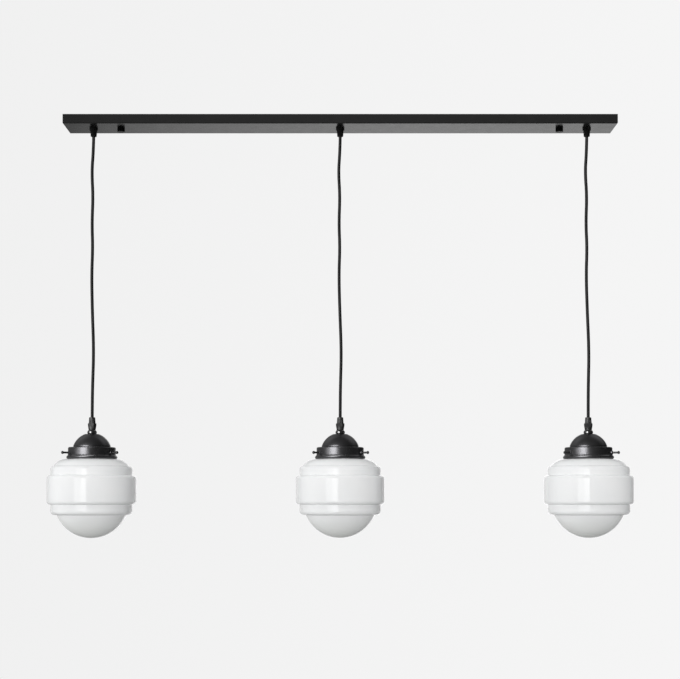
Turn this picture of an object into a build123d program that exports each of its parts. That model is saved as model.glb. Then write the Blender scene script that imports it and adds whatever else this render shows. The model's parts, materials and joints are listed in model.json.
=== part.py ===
"""Ceiling light: a steel beam carries three cords, each with a dome, a gallery and a stepped opal glass."""

import os
from math import acos, atan2, cos, hypot, pi, sin, sqrt, tan

from build123d import *

os.makedirs("parts", exist_ok=True)

# Beam, an open tray against the ceiling
beam_length = 1000.0
beam_width = 70.0
beam_height = 17.0
beam_sheet = 1.2
beam_fold = 1.4
pendant_end = 50.0
stud_end = 100.0
pendant_pitch = beam_length / 2 - pendant_end
stud_offset = beam_length / 2 - stud_end

# Ceiling bracket and its studs
bracket_end = 75.0
bracket_length = beam_length - 2 * bracket_end
bracket_width = 24.0
bracket_sheet = 2.0
slot_end = 125.0
slot_offset = bracket_length / 2 - slot_end
slot_length = 14.0
slot_width = 5.5
stud_radius = 2.5
stud_reach = 4.0
stud_collar_radius = 4.2
stud_collar_height = 1.5

# Knurled nuts under the beam
nut_radius = 6.8
nut_height = 6.5
nut_crown = 0.8
knurl_radius = 0.42
knurl_count = 28

# Cord grips, the same cone above and below
cord_radius = 2.8
grip_hex_radius = 7.7
grip_hex_height = 4.0
grip_cone_height = 11.0
grip_cone_radius = 6.2
grip_tip_radius = 5.4
grip_tip_round = 0.7
grip_mouth_radius = 4.2
grip_flute_radius = 0.75
grip_flute_count = 10
grip_spigot_radius = 5.0
grip_spigot_rise = 4.5
grip_body_height = 7.75
grip_body_radius = 6.4
locknut_flat = 7.0
locknut_height = 3.0

# Free cord and its two swing centres above the mouth
cord_drop = 513.1
cord_hold = 14.0
neck_pivot_rise = 5.5
cord_pivot_rise = 0.5

# Side and depth offsets of the hanging cord at shares of its drop
cord_waves = (
    (-0.5, 0.2, 0.055),
    (-3.2, 0.6, 0.125),
    (-0.4, -0.5, 0.215),
    (-2.4, 0.5, 0.309),
    (-0.5, -0.4, 0.397),
    (-2.4, 0.3, 0.493),
    (-0.75, -0.2, 0.622),
    (2.2, 0.4, 0.766),
    (0.4, -0.2, 0.890),
    (0.0, 0.0, 0.972),
)

# Collar and nipple
collar_radius = 8.55
collar_height = 7.7
collar_bulge = 4.6
collar_flat_radius = 5.5
nipple_radius = 5.0
nipple_bore = 3.4
nipple_grip_depth = 6.0
nipple_holder_depth = 9.5

# Dome
dome_radius = 35.4
dome_seat_radius = 12.5
dome_base_radius = 34.2
dome_sheet = 1.2
dome_bead = 0.9

# Gallery with its thumb screws
gallery_radius = 42.75
gallery_height = 21.0
gallery_sheet = 1.5
gallery_edge = 1.1
gallery_bead_radius = 3.7
gallery_bead_out = 2.9
gallery_flare = 4.5
screw_level = 10.2
screw_turn = 2.0
screw_boss_radius = 3.7
screw_boss_out = 2.45
screw_radius = 1.75
screw_point_radius = 1.25
screw_point_length = 1.6
screw_head_radius = 2.8
screw_head_length = 4.0
screw_out = 15.25
gallery_bead_reach = gallery_radius + gallery_bead_out
screw_boss_reach = gallery_radius + screw_boss_out
screw_reach = gallery_radius + screw_out

# Glass shade: neck, and the steps of its wall with their ledges and heights from the lowest point up
glass_wall = 2.8
lip_gap = 1.65
lip_step = 2.2
lip_round = 1.2
lip_headroom = 0.5
lip_radius = gallery_radius - gallery_sheet - lip_gap
neck_radius = lip_radius - lip_step
main_band_radius = 80.3
side_band_step = 7.0
side_band_crown = 0.5
low_ledge = 11.3
high_ledge = 5.2
shoulder_flat = 7.6
cap_height = 42.0
low_band_height = 16.5
main_band_height = 55.0
high_band_height = 16.5
shoulder_height = 13.0
low_round = low_ledge * 2 / 3
main_round = side_band_step * 0.915
high_round = high_ledge * 0.96
groove_round = side_band_step / 14

# Glass shade: what follows from its steps
side_band_radius = main_band_radius - side_band_step
cap_edge_radius = side_band_radius - low_ledge
cap_radius = (cap_edge_radius**2 + cap_height**2) / (2 * cap_height)
shoulder_centre = neck_radius + shoulder_flat
shoulder_width = side_band_radius - high_ledge - shoulder_centre
shoulder_radius = (shoulder_width**2 + shoulder_height**2) / (2 * shoulder_height)
main_band_low = cap_height + low_band_height
main_band_high = main_band_low + main_band_height
upper_band_high = main_band_high + high_band_height
shade_height = upper_band_high + shoulder_height

# Lampholder, shade ring and bulb
holder_flange_radius = 23.5
holder_flange_height = 2.0
holder_cap_radius = 17.0
holder_cap_height = 14.0
holder_cap_round = 5.0
holder_boss_radius = 8.0
holder_boss_height = 2.5
holder_barrel_radius = 20.0
holder_barrel_length = 29.0
holder_socket_depth = 27.0
holder_chamber_radius = 11.0
holder_chamber_height = 6.0
ring_radius = 27.0
ring_height = 4.9
ring_scallop = 1.6
ring_scallop_count = 18
bulb_cap_radius = 13.05
bulb_cap_length = 25.5
bulb_contact_radius = 4.0
bulb_contact_height = 1.6
bulb_radius = 30.0
bulb_length = 76.0
bulb_neck_radius = 14.6
bulb_neck_length = 5.0
bulb_wall = 1.0

# Wiring inside the beam
terminal_length = 17.0
terminal_width = 28.0
terminal_height = 11.0
terminal_offset = 140.0
terminal_hole_radius = 2.4
terminal_hole_level = 5.0
terminal_pole_pitch = 9.0
terminal_well_depth = 3.0
terminal_screw_radius = 1.7
terminal_screw_height = 2.6
terminal_screw_pitch = 8.0
wire_radius = 0.95
wire_stack = 1.15
wire_depth = 5.0
wire_start = 0.5
wire_spread = 1.35
wire_rise = 1.45
wire_dip = 0.8
tail_level = 5.9
tail_over = 12.0
tail_over_side = 2.5
tail_over_dip = 0.6
tail_landing = 35.0
tail_landing_side = 8.0
tail_sway = 12.0
tail_side = 8.0
left_tail_gap = 39.5
middle_tail_gap = 23.5
right_tail_gap = 29.5
earth_gap = 41.5
earth_y = 22.0
earth_washer_radius = 4.5
earth_washer_height = 0.8
earth_head_radius = 3.6
earth_head_height = 2.6

# Clearances
fit_gap = 0.1
thread_gap = 0.15
slip_gap = 0.3
seat_gap = 0.3

# Levels, from the ceiling down
underside = -beam_height
floor = underside + beam_sheet
mouth = underside - grip_hex_height - grip_cone_height
neck_pivot = mouth + neck_pivot_rise
cord_pivot = mouth + cord_pivot_rise
tail_end = neck_pivot + cord_radius + slip_gap
lower_grip_top = mouth - cord_drop
lower_hex_top = lower_grip_top - grip_cone_height
lower_hex_bottom = lower_hex_top - grip_hex_height
collar_top = lower_hex_bottom - grip_body_height
dome_top = collar_top - collar_height
dome_centre = dome_top - sqrt(dome_radius**2 - dome_seat_radius**2)
gallery_top = dome_centre + sqrt(dome_radius**2 - dome_base_radius**2)
gallery_bottom = gallery_top - gallery_height
screw_height = gallery_top - screw_level
shade_bottom = gallery_bottom - seat_gap - shade_height
neck_top = gallery_top - gallery_sheet - lip_headroom
lip_bottom = screw_height + screw_radius + seat_gap
holder_top = gallery_top + holder_flange_height + holder_cap_height + holder_boss_height
holder_bottom = gallery_top - holder_barrel_length
socket_top = holder_bottom + holder_socket_depth
bulb_cap_top = socket_top - bulb_contact_height - fit_gap
bulb_top = bulb_cap_top - bulb_cap_length
terminal_level = floor + terminal_hole_level
earth_x = terminal_offset + terminal_length / 2 + earth_gap
tail_floor = floor + cord_radius + fit_gap
pendants = {"left": -pendant_pitch, "middle": 0.0, "right": pendant_pitch}
screw_angles = {"front_left": 210.0, "front_right": 330.0, "back": 90.0}


def route_radii(points):
    """Radius of the bend at each inner point of a route, as wide as the shorter run beside it allows."""
    radii = []
    for before, here, after in zip(points, points[1:], points[2:]):
        a = Vector(*here) - Vector(*before)
        b = Vector(*after) - Vector(*here)
        half_turn = acos(min(1.0, a.dot(b) / (a.length * b.length))) / 2
        radii.append(0.45 * min(a.length, b.length) / tan(half_turn))
    return radii


def add_tube(points, radius):
    """Adds a round cord or wire along a route to the part being built, and prints its bends and volume."""
    radii = route_radii(points)
    with BuildLine() as route:
        FilletPolyline(*points, radius=radii)
    path = route.wires()[0]
    with BuildSketch(Plane(path @ 0, z_dir=path % 0)) as section:
        Circle(radius)
    tube = sweep(section.sketch, path=path)
    share = tube.volume / (pi * radius**2 * path.length)
    print("route", round(path.length, 1), "volume share", round(share, 4), [round(r, 1) for r in radii])


def add_turned(*outline, mode=Mode.ADD):
    """Turns a straight-sided outline of (radius, height) points about the upright axis."""
    with BuildSketch(Plane.XZ) as face:
        with BuildLine():
            Polyline(*outline, close=True)
        make_face()
    revolve(face.sketch, axis=Axis.Z, mode=mode)


def write(solid, name):
    """Writes one named piece."""
    solid.label = name
    export_step(solid, f"parts/{name}.step")


def write_row(solid, name):
    """Writes one copy of a piece for each of the three pendants."""
    for side, x in pendants.items():
        write(Pos(x, 0, 0) * solid, f"{name}_{side}")


# Folded tray with the holes for grips and studs
with BuildPart() as beam_housing:
    with BuildSketch():
        Rectangle(beam_length, beam_width)
    extrude(amount=underside)
    fillet(beam_housing.faces().sort_by(Axis.Z)[0].edges(), radius=beam_fold)
    offset(amount=-beam_sheet, openings=beam_housing.faces().sort_by(Axis.Z)[-1])
    with BuildSketch(Plane.XY.offset(underside)):
        with Locations(*[(x, 0) for x in pendants.values()]):
            Circle(grip_spigot_radius + fit_gap)
        with Locations((-stud_offset, 0), (stud_offset, 0)):
            Circle(stud_radius + slip_gap)
    extrude(amount=beam_sheet, mode=Mode.SUBTRACT)
write(beam_housing.part, "beam_housing")

# Flat strip screwed to the ceiling
with BuildPart() as ceiling_bracket:
    with BuildSketch():
        Rectangle(bracket_length, bracket_width)
        with Locations((-slot_offset, 0), (slot_offset, 0)):
            SlotOverall(slot_length, slot_width, mode=Mode.SUBTRACT)
        with Locations((-stud_offset, 0), (stud_offset, 0)):
            Circle(stud_radius + fit_gap, mode=Mode.SUBTRACT)
    extrude(amount=-bracket_sheet)
write(ceiling_bracket.part, "ceiling_bracket")

# Pressed-in studs that reach down through the tray
with BuildPart() as bracket_studs:
    with BuildSketch(Plane.XY.offset(underside - stud_reach)):
        with Locations((-stud_offset, 0), (stud_offset, 0)):
            Circle(stud_radius)
    extrude(amount=-underside + stud_reach)
    with BuildSketch(Plane.XY.offset(-bracket_sheet)):
        with Locations((-stud_offset, 0), (stud_offset, 0)):
            Circle(stud_collar_radius)
    extrude(amount=-stud_collar_height)
write(bracket_studs.part, "bracket_studs")

# Low knurled nut with a crowned face
with BuildPart() as ceiling_nut:
    with BuildSketch(Plane.XY.offset(underside)):
        Circle(nut_radius)
        with PolarLocations(nut_radius, knurl_count):
            Circle(knurl_radius, mode=Mode.SUBTRACT)
    extrude(amount=-nut_height)
    add_turned(
        (nut_radius - nut_crown, underside - nut_height),
        (nut_radius + nut_crown, underside - nut_height + 2 * nut_crown),
        (nut_radius + nut_crown, underside - nut_height),
        mode=Mode.SUBTRACT,
    )
    with BuildSketch(Plane.XY.offset(underside)):
        Circle(stud_radius + slip_gap)
    extrude(amount=-stud_reach - slip_gap, mode=Mode.SUBTRACT)
write(Pos(-stud_offset, 0, 0) * ceiling_nut.part, "ceiling_nut_left")
write(Pos(stud_offset, 0, 0) * ceiling_nut.part, "ceiling_nut_right")

# Grip under the beam: threaded spigot, hexagon foot, fluted cone with a bell mouth
with BuildPart() as upper_grip:
    add_turned(
        (0, floor + grip_spigot_rise),
        (grip_spigot_radius, floor + grip_spigot_rise),
        (grip_spigot_radius, underside),
        (grip_cone_radius, underside),
        (grip_cone_radius, underside - grip_hex_height),
        (grip_tip_radius, mouth),
        (0, mouth),
    )
    fillet(upper_grip.edges().group_by(Axis.Z)[0], radius=grip_tip_round)
    with BuildSketch(Plane.XY.offset(mouth)):
        with PolarLocations(grip_cone_radius + fit_gap, grip_flute_count):
            Circle(grip_flute_radius)
    extrude(amount=grip_cone_height, mode=Mode.SUBTRACT)
    with BuildSketch(Plane.XY.offset(underside)):
        RegularPolygon(grip_hex_radius, 6)
    extrude(amount=-grip_hex_height)
    add_turned(
        (0, 0),
        (cord_radius + slip_gap, 0),
        (cord_radius + slip_gap, neck_pivot),
        (grip_mouth_radius, mouth),
        (0, mouth),
        mode=Mode.SUBTRACT,
    )
with BuildPart() as upper_grips:
    for x in pendants.values():
        add(Pos(x, 0, 0) * upper_grip.part)
write(upper_grips.part, "upper_grips")

# Hexagon nuts that hold the grips inside the tray
with BuildPart() as grip_locknuts:
    with BuildSketch(Plane.XY.offset(floor)):
        with Locations(*[(x, 0) for x in pendants.values()]):
            RegularPolygon(locknut_flat, 6, major_radius=False)
            Circle(grip_spigot_radius + fit_gap, mode=Mode.SUBTRACT)
    extrude(amount=locknut_height)
write(grip_locknuts.part, "grip_locknuts")

# Short length of cord in the bell mouth, between the two swing centres
with BuildPart() as cord_neck:
    with BuildSketch(Plane.XZ):
        with BuildLine():
            CenterArc((0, neck_pivot), cord_radius, 0, 90)
            Polyline(
                (0, neck_pivot + cord_radius),
                (0, cord_pivot + cord_radius + slip_gap),
                (cord_radius, cord_pivot + cord_radius + slip_gap),
                (cord_radius, neck_pivot),
            )
        make_face()
    revolve(axis=Axis.Z)
write_row(cord_neck.part, "cord_neck")

# Hanging cord with the small waves of a cord that was packed in a coil
with BuildPart() as cord:
    route = [(0, 0, cord_pivot)]
    route += [(dx, dy, mouth - share * cord_drop) for dx, dy, share in cord_waves]
    route += [(0, 0, lower_grip_top - cord_hold)]
    add_tube(route, cord_radius)
    with BuildSketch(Plane.XZ):
        with BuildLine():
            CenterArc((0, cord_pivot), cord_radius, -90, 180)
            Line((0, cord_pivot + cord_radius), (0, cord_pivot - cord_radius))
        make_face()
    revolve(axis=Axis.Z)
write_row(cord.part, "cord")

# Lower grip: fluted cone, hexagon band and a body that narrows from the hexagon to a round foot
with BuildPart() as lower_grip:
    add_turned(
        (0, lower_grip_top),
        (grip_tip_radius, lower_grip_top),
        (grip_cone_radius, lower_hex_top),
        (grip_cone_radius, lower_hex_bottom),
        (0, lower_hex_bottom),
    )
    fillet(lower_grip.edges().group_by(Axis.Z)[-1], radius=grip_tip_round)
    with BuildSketch(Plane.XY.offset(lower_hex_top)):
        with PolarLocations(grip_cone_radius + fit_gap, grip_flute_count):
            Circle(grip_flute_radius)
    extrude(amount=grip_cone_height, mode=Mode.SUBTRACT)
    with BuildSketch(Plane.XY.offset(lower_hex_bottom)):
        RegularPolygon(grip_hex_radius, 6)
    extrude(amount=grip_hex_height)
    with BuildSketch(Plane.XY.offset(lower_hex_bottom)):
        RegularPolygon(grip_hex_radius, 6)
    with BuildSketch(Plane.XY.offset(collar_top)):
        Circle(grip_body_radius)
    loft()
    with BuildSketch(Plane.XY.offset(lower_grip_top)):
        Circle(cord_radius + slip_gap)
    extrude(amount=collar_top - lower_grip_top, mode=Mode.SUBTRACT)
    with BuildSketch(Plane.XY.offset(collar_top)):
        Circle(nipple_radius + fit_gap)
    extrude(amount=nipple_grip_depth + fit_gap, mode=Mode.SUBTRACT)
write_row(lower_grip.part, "lower_grip")

# Flattened ball between lower grip and dome, widest below its middle
with BuildPart() as collar:
    collar_step = collar_radius - collar_flat_radius
    collar_round = (collar_step**2 + collar_bulge**2) / (2 * collar_step)
    collar_foot = collar_radius - collar_round + sqrt(collar_round**2 - (collar_height - collar_bulge) ** 2)
    with BuildSketch(Plane.XZ):
        with BuildLine():
            ThreePointArc(
                (collar_flat_radius, collar_top),
                (collar_radius, collar_top - collar_bulge),
                (collar_foot, dome_top),
            )
            Polyline(
                (collar_foot, dome_top),
                (nipple_radius + fit_gap, dome_top),
                (nipple_radius + fit_gap, collar_top),
                (collar_flat_radius, collar_top),
            )
        make_face()
    revolve(axis=Axis.Z)
write_row(collar.part, "collar")

# Hollow threaded tube that joins grip, collar, dome and lampholder
with BuildPart() as nipple:
    add_turned(
        (nipple_bore, collar_top + nipple_grip_depth),
        (nipple_radius, collar_top + nipple_grip_depth),
        (nipple_radius, holder_top - nipple_holder_depth),
        (nipple_bore, holder_top - nipple_holder_depth),
    )
write_row(nipple.part, "nipple")

# Spun dome with a flat seat for the collar and a small bead round its foot
with BuildPart() as dome:
    inner_radius = dome_radius - dome_sheet
    inner_seat = sqrt(inner_radius**2 - (dome_top - dome_sheet - dome_centre) ** 2)
    inner_base = sqrt(inner_radius**2 - (gallery_top - dome_centre) ** 2)
    bead_radius = sqrt(dome_radius**2 - (gallery_top + 2 * dome_bead - dome_centre) ** 2)
    seat_angle = atan2(dome_top - dome_centre, dome_seat_radius) * 180 / pi
    bead_angle = atan2(gallery_top + 2 * dome_bead - dome_centre, bead_radius) * 180 / pi
    inner_seat_angle = atan2(dome_top - dome_sheet - dome_centre, inner_seat) * 180 / pi
    inner_base_angle = atan2(gallery_top - dome_centre, inner_base) * 180 / pi
    with BuildSketch(Plane.XZ):
        with BuildLine():
            CenterArc((0, dome_centre), dome_radius, bead_angle, seat_angle - bead_angle)
            Polyline(
                (dome_seat_radius, dome_top),
                (nipple_radius + fit_gap, dome_top),
                (nipple_radius + fit_gap, dome_top - dome_sheet),
                (inner_seat, dome_top - dome_sheet),
            )
            CenterArc((0, dome_centre), inner_radius, inner_base_angle, inner_seat_angle - inner_base_angle)
            Line((inner_base, gallery_top), (bead_radius, gallery_top))
            ThreePointArc(
                (bead_radius, gallery_top),
                (bead_radius + dome_bead, gallery_top + dome_bead),
                (bead_radius, gallery_top + 2 * dome_bead),
            )
        make_face()
    revolve(axis=Axis.Z)
write_row(dome.part, "dome")

# Gallery: flat top, straight wall that flares into a rolled lower edge, and three tapped bosses
with BuildPart() as gallery:
    bead_centre = gallery_bottom + gallery_bead_radius
    bead_axis = gallery_bead_reach - gallery_bead_radius
    flare_out = gallery_radius + gallery_flare - bead_axis
    flare_span = gallery_flare + gallery_bead_radius
    flare_rise = sqrt(flare_span**2 - flare_out**2)
    wall_meet = bead_centre + flare_rise
    bead_meet = (
        bead_axis + gallery_bead_radius * flare_out / flare_span,
        bead_centre + gallery_bead_radius * flare_rise / flare_span,
    )
    with BuildSketch(Plane.XZ):
        with BuildLine():
            Polyline(
                (gallery_radius, wall_meet),
                (gallery_radius, gallery_top),
                (holder_barrel_radius + slip_gap, gallery_top),
                (holder_barrel_radius + slip_gap, gallery_top - gallery_sheet),
                (gallery_radius - gallery_sheet, gallery_top - gallery_sheet),
                (gallery_radius - gallery_sheet, gallery_bottom),
                (bead_axis, gallery_bottom),
            )
            ThreePointArc((bead_axis, gallery_bottom), (gallery_bead_reach, bead_centre), bead_meet)
            TangentArc((gallery_radius, wall_meet), bead_meet, tangent=(0, -1))
        make_face()
    revolve(axis=Axis.Z)
    fillet(
        gallery.edges().filter_by(GeomType.CIRCLE).filter_by(
            lambda e: abs(e.radius - gallery_radius) < 0.01 and e.center().Z > gallery_top - 0.1
        ),
        radius=gallery_edge,
    )
    for angle in screw_angles.values():
        turn = (angle + screw_turn) * pi / 180
        boss_plane = Plane((0, 0, screw_height), z_dir=(cos(turn), sin(turn), 0))
        with BuildSketch(boss_plane.offset(gallery_radius - gallery_sheet / 2)):
            Circle(screw_boss_radius)
        extrude(amount=screw_boss_reach - gallery_radius + gallery_sheet / 2)
        with BuildSketch(boss_plane.offset(gallery_radius - 2 * gallery_sheet)):
            Circle(screw_radius + thread_gap)
        extrude(amount=screw_boss_reach - gallery_radius + 3 * gallery_sheet, mode=Mode.SUBTRACT)
write_row(gallery.part, "gallery")

# Thumb screw with a pointed tip and a rounded head, turned about the upright axis and laid outward
with BuildPart() as thumb_screw:
    tip = neck_radius + seat_gap
    head_start = screw_reach - screw_head_length
    with BuildSketch(Plane.XZ):
        with BuildLine():
            Polyline(
                (screw_radius, screw_reach),
                (0, screw_reach),
                (0, tip),
                (screw_point_radius, tip),
                (screw_point_radius, tip + screw_point_length),
                (screw_radius, tip + screw_point_length),
                (screw_radius, head_start),
            )
            ThreePointArc(
                (screw_radius, head_start),
                (screw_head_radius, head_start + screw_head_length / 2),
                (screw_radius, screw_reach),
            )
        make_face()
    revolve(axis=Axis.Z)
for name, angle in screw_angles.items():
    outward = Pos(0, 0, screw_height) * Rot(0, 0, angle + screw_turn) * Rot(0, 90, 0)
    write_row(outward * thumb_screw.part, f"screw_{name}")

# Lampholder: cap, flange on the gallery, threaded barrel with the socket
with BuildPart() as lampholder:
    flange_top = gallery_top + holder_flange_height
    cap_top = flange_top + holder_cap_height
    add_turned((0, flange_top), (holder_cap_radius, flange_top), (holder_cap_radius, cap_top), (0, cap_top))
    fillet(lampholder.edges().group_by(Axis.Z)[-1], radius=holder_cap_round)
    add_turned(
        (0, holder_top),
        (holder_boss_radius, holder_top),
        (holder_boss_radius, flange_top),
        (holder_flange_radius, flange_top),
        (holder_flange_radius, gallery_top),
        (holder_barrel_radius, gallery_top),
        (holder_barrel_radius, holder_bottom),
        (bulb_cap_radius + slip_gap, holder_bottom),
        (bulb_cap_radius + slip_gap, socket_top),
        (0, socket_top),
    )
    chamber_top = holder_top - nipple_holder_depth - fit_gap
    add_turned(
        (0, holder_top),
        (nipple_radius + fit_gap, holder_top),
        (nipple_radius + fit_gap, chamber_top),
        (holder_chamber_radius, chamber_top),
        (holder_chamber_radius, chamber_top - holder_chamber_height),
        (0, chamber_top - holder_chamber_height),
        mode=Mode.SUBTRACT,
    )
write_row(lampholder.part, "lampholder")

# Scalloped ring that clamps the gallery against the lampholder flange
with BuildPart() as shade_ring:
    with BuildSketch(Plane.XY.offset(gallery_top - gallery_sheet)):
        Circle(ring_radius)
        with PolarLocations(ring_radius, ring_scallop_count):
            Circle(ring_scallop, mode=Mode.SUBTRACT)
        Circle(holder_barrel_radius + fit_gap, mode=Mode.SUBTRACT)
    extrude(amount=-ring_height)
write_row(shade_ring.part, "shade_ring")

# Screw cap of the bulb with its foot contact
with BuildPart() as bulb_cap:
    add_turned(
        (0, bulb_cap_top + bulb_contact_height),
        (bulb_contact_radius, bulb_cap_top + bulb_contact_height),
        (bulb_contact_radius + bulb_contact_height, bulb_cap_top),
        (bulb_cap_radius - bulb_contact_height, bulb_cap_top),
        (bulb_cap_radius, bulb_cap_top - bulb_contact_height),
        (bulb_cap_radius, bulb_top),
        (bulb_cap_radius - bulb_wall, bulb_top),
        (bulb_cap_radius - bulb_wall, bulb_cap_top - 2 * bulb_contact_height),
        (0, bulb_cap_top - 2 * bulb_contact_height),
    )
write_row(bulb_cap.part, "bulb_cap")


def add_bulb(inset, mode=Mode.ADD):
    """Turns the pear outline of the bulb, a cone from the neck into the ball, drawn in by an amount."""
    centre = bulb_top - bulb_length + bulb_radius
    ball = bulb_radius - inset
    neck = bulb_neck_radius - inset
    level = bulb_top - bulb_neck_length
    meet = atan2(level - centre, neck) - acos(ball / hypot(neck, level - centre))
    with BuildSketch(Plane.XZ) as outline:
        with BuildLine():
            Polyline(
                (0, centre - ball),
                (0, bulb_top),
                (bulb_cap_radius - inset, bulb_top),
                (neck, level),
                (ball * cos(meet), centre + ball * sin(meet)),
            )
            CenterArc((0, centre), ball, -90, 90 + meet * 180 / pi)
        make_face()
    revolve(outline.sketch, axis=Axis.Z, mode=mode)


# Thin envelope of the bulb, open into its cap
with BuildPart() as bulb:
    add_bulb(0.0)
    add_bulb(bulb_wall, mode=Mode.SUBTRACT)
write_row(bulb.part, "bulb")


def add_shade(inset, mode=Mode.ADD):
    """Turns the stepped outline of the glass, drawn in by the given amount on every side."""
    cap = cap_radius - inset
    side = side_band_radius - inset
    main = main_band_radius - inset
    shoulder = shoulder_radius - inset
    cap_centre = shade_bottom + cap_radius
    low = shade_bottom + cap_height + inset
    main_low = shade_bottom + main_band_low + inset
    main_high = shade_bottom + main_band_high - inset
    high = shade_bottom + upper_band_high - inset
    shoulder_level = shade_bottom + shade_height - shoulder_radius
    cap_edge = sqrt(cap**2 - (low - cap_centre) ** 2)
    shoulder_edge = shoulder_centre + sqrt(shoulder**2 - (high - shoulder_level) ** 2)
    with BuildSketch(Plane.XZ) as outline:
        with BuildLine():
            CenterArc((0, cap_centre), cap, -90, 90 + atan2(low - cap_centre, cap_edge) * 180 / pi)
            Line((cap_edge, low), (side, low))
            ThreePointArc((side, low), (side + side_band_crown, (low + main_low) / 2), (side, main_low))
            Polyline((side, main_low), (main, main_low), (main, main_high), (side, main_high))
            ThreePointArc((side, main_high), (side + side_band_crown, (main_high + high) / 2), (side, high))
            Line((side, high), (shoulder_edge, high))
            start = atan2(high - shoulder_level, shoulder_edge - shoulder_centre) * 180 / pi
            CenterArc((shoulder_centre, shoulder_level), shoulder, start, 90 - start)
            Polyline(
                (shoulder_centre, shoulder_level + shoulder),
                (neck_radius - inset, shoulder_level + shoulder),
                (neck_radius - inset, neck_top),
                (0, neck_top),
                (0, cap_centre - cap),
            )
        make_face()
        rounds = {
            (side, low): low_round - inset,
            (main, main_low): main_round - inset,
            (main, main_high): main_round - inset,
            (side, high): high_round - inset,
            (side, main_low): groove_round + inset / 10,
            (side, main_high): groove_round + inset / 10,
        }
        for (r, z), radius in rounds.items():
            fillet(outline.vertices().sort_by_distance((r, z))[0], radius=radius)
    revolve(outline.sketch, axis=Axis.Z, mode=mode)


# Stepped opal glass with a lipped neck
with BuildPart() as glass_shade:
    add_shade(0.0)
    add_turned((0, neck_top), (lip_radius, neck_top), (lip_radius, lip_bottom), (0, lip_bottom))
    fillet(
        glass_shade.edges().filter_by(GeomType.CIRCLE).filter_by(
            lambda e: abs(e.radius - lip_radius) < 0.01
        ),
        radius=lip_round,
    )
    add_shade(glass_wall, mode=Mode.SUBTRACT)
write_row(glass_shade.part, "glass_shade")

# Terminal block on the floor of the tray, three poles across
with BuildPart() as terminal_block:
    with BuildSketch(Plane.XY.offset(floor)):
        with Locations((terminal_offset, 0)):
            Rectangle(terminal_length, terminal_width)
    extrude(amount=terminal_height)
    fillet(terminal_block.edges().filter_by(Axis.Z), radius=terminal_hole_radius / 2)
    with BuildSketch(Plane.YZ.offset(terminal_offset - terminal_length)):
        with GridLocations(terminal_pole_pitch, 0, 3, 1):
            with Locations((0, terminal_level)):
                Circle(terminal_hole_radius)
    extrude(amount=2 * terminal_length, mode=Mode.SUBTRACT)
    with BuildSketch(Plane.XY.offset(floor + terminal_height)):
        with Locations((terminal_offset, 0)):
            with GridLocations(terminal_screw_pitch, terminal_pole_pitch, 2, 3):
                Circle(terminal_screw_radius + fit_gap)
    extrude(amount=-terminal_well_depth, mode=Mode.SUBTRACT)
write(terminal_block.part, "terminal_block")

# Slotted screws of the terminal block
with BuildPart() as terminal_screws:
    with BuildSketch(Plane.XY.offset(floor + terminal_height - terminal_well_depth)):
        with Locations((terminal_offset, 0)):
            with GridLocations(terminal_screw_pitch, terminal_pole_pitch, 2, 3):
                Circle(terminal_screw_radius)
    extrude(amount=terminal_screw_height)
    with BuildSketch(Plane.XY.offset(floor + terminal_height - terminal_well_depth + terminal_screw_height)):
        with Locations((terminal_offset, 0)):
            with GridLocations(terminal_screw_pitch, terminal_pole_pitch, 2, 3):
                Rectangle(3 * terminal_screw_radius, terminal_screw_radius / 3)
    extrude(amount=-terminal_screw_height / 3, mode=Mode.SUBTRACT)
write(terminal_screws.part, "terminal_screws")

# Sway of each tail at shares of its way along the floor of the tray, in multiples of the named sway
left_tail_waves = (
    (0.09, 1.1),
    (0.23, 1.25),
    (0.37, 0.9),
    (0.52, 1.25),
    (0.67, 0.95),
    (0.81, 1.3),
    (0.92, 1.0),
)
middle_tail_waves = ((0.51, -0.95),)
right_tail_waves = ((0.19, -1.0), (0.48, -1.1), (0.76, -0.75))
block_left = terminal_offset - terminal_length / 2
block_right = terminal_offset + terminal_length / 2
left_tail_end = (block_left - left_tail_gap, tail_side, tail_floor)
middle_tail_end = (block_left - middle_tail_gap, -tail_side, tail_floor)
right_tail_end = (block_right + right_tail_gap, 0.0, tail_floor)


def tail_route(x, way, hand, waves, finish):
    """Route of a cord in the tray: up through its grip, over the locknut and along the floor to its end."""
    landing = x + way * tail_landing
    span = finish[0] - landing
    route = [
        (x, 0, tail_end),
        (x, 0, -tail_level),
        (x + way * tail_over, hand * tail_over_side, -tail_level - tail_over_dip),
        (landing, hand * tail_landing_side, tail_floor),
    ]
    route += [(landing + share * span, sway * tail_sway, tail_floor) for share, sway in waves]
    return [*route, finish]


# Cords inside the tray, from each grip to the terminal block
with BuildPart() as cord_tails:
    add_tube(tail_route(-pendant_pitch, 1, 1, left_tail_waves, left_tail_end), cord_radius)
    add_tube(tail_route(0.0, 1, -1, middle_tail_waves, middle_tail_end), cord_radius)
    add_tube(tail_route(pendant_pitch, -1, -1, right_tail_waves, right_tail_end), cord_radius)
write(cord_tails.part, "cord_tails")


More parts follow.
